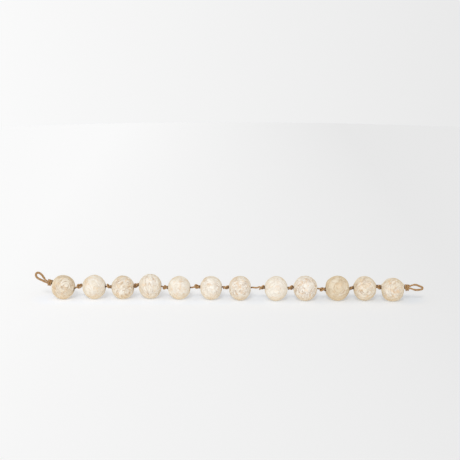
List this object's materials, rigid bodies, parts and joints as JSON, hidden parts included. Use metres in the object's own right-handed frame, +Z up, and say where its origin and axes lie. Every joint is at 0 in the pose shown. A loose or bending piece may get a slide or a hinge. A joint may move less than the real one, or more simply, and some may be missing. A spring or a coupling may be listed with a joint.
{
  "type": "papier-mache ball garland",
  "caption": "Garland of cream papier-mache balls on a knotted jute cord, with a hanging loop at each end.",
  "frame": {"origin": "middle of the footprint, on the surface that the balls rest on", "axes": "+X along the garland from its left loop to its right loop, +Y away from the side that is looked at, +Z up"},
  "size_m": [0.7928, 0.07, 0.0547],
  "materials": {
    "paper": "dry, matt, torn and pasted paper with wrinkles and fibres",
    "jute": "twisted jute twine, slightly hairy"
  },
  "bodies": {
    "root": {"ball_01": "paper", "ball_02": "paper", "ball_03": "paper", "ball_04": "paper", "ball_05": "paper", "ball_06": "paper", "ball_07": "paper", "ball_08": "paper", "ball_09": "paper", "ball_10": "paper", "ball_11": "paper", "ball_12": "paper", "cord": "jute"}
  },
  "joints": []
}
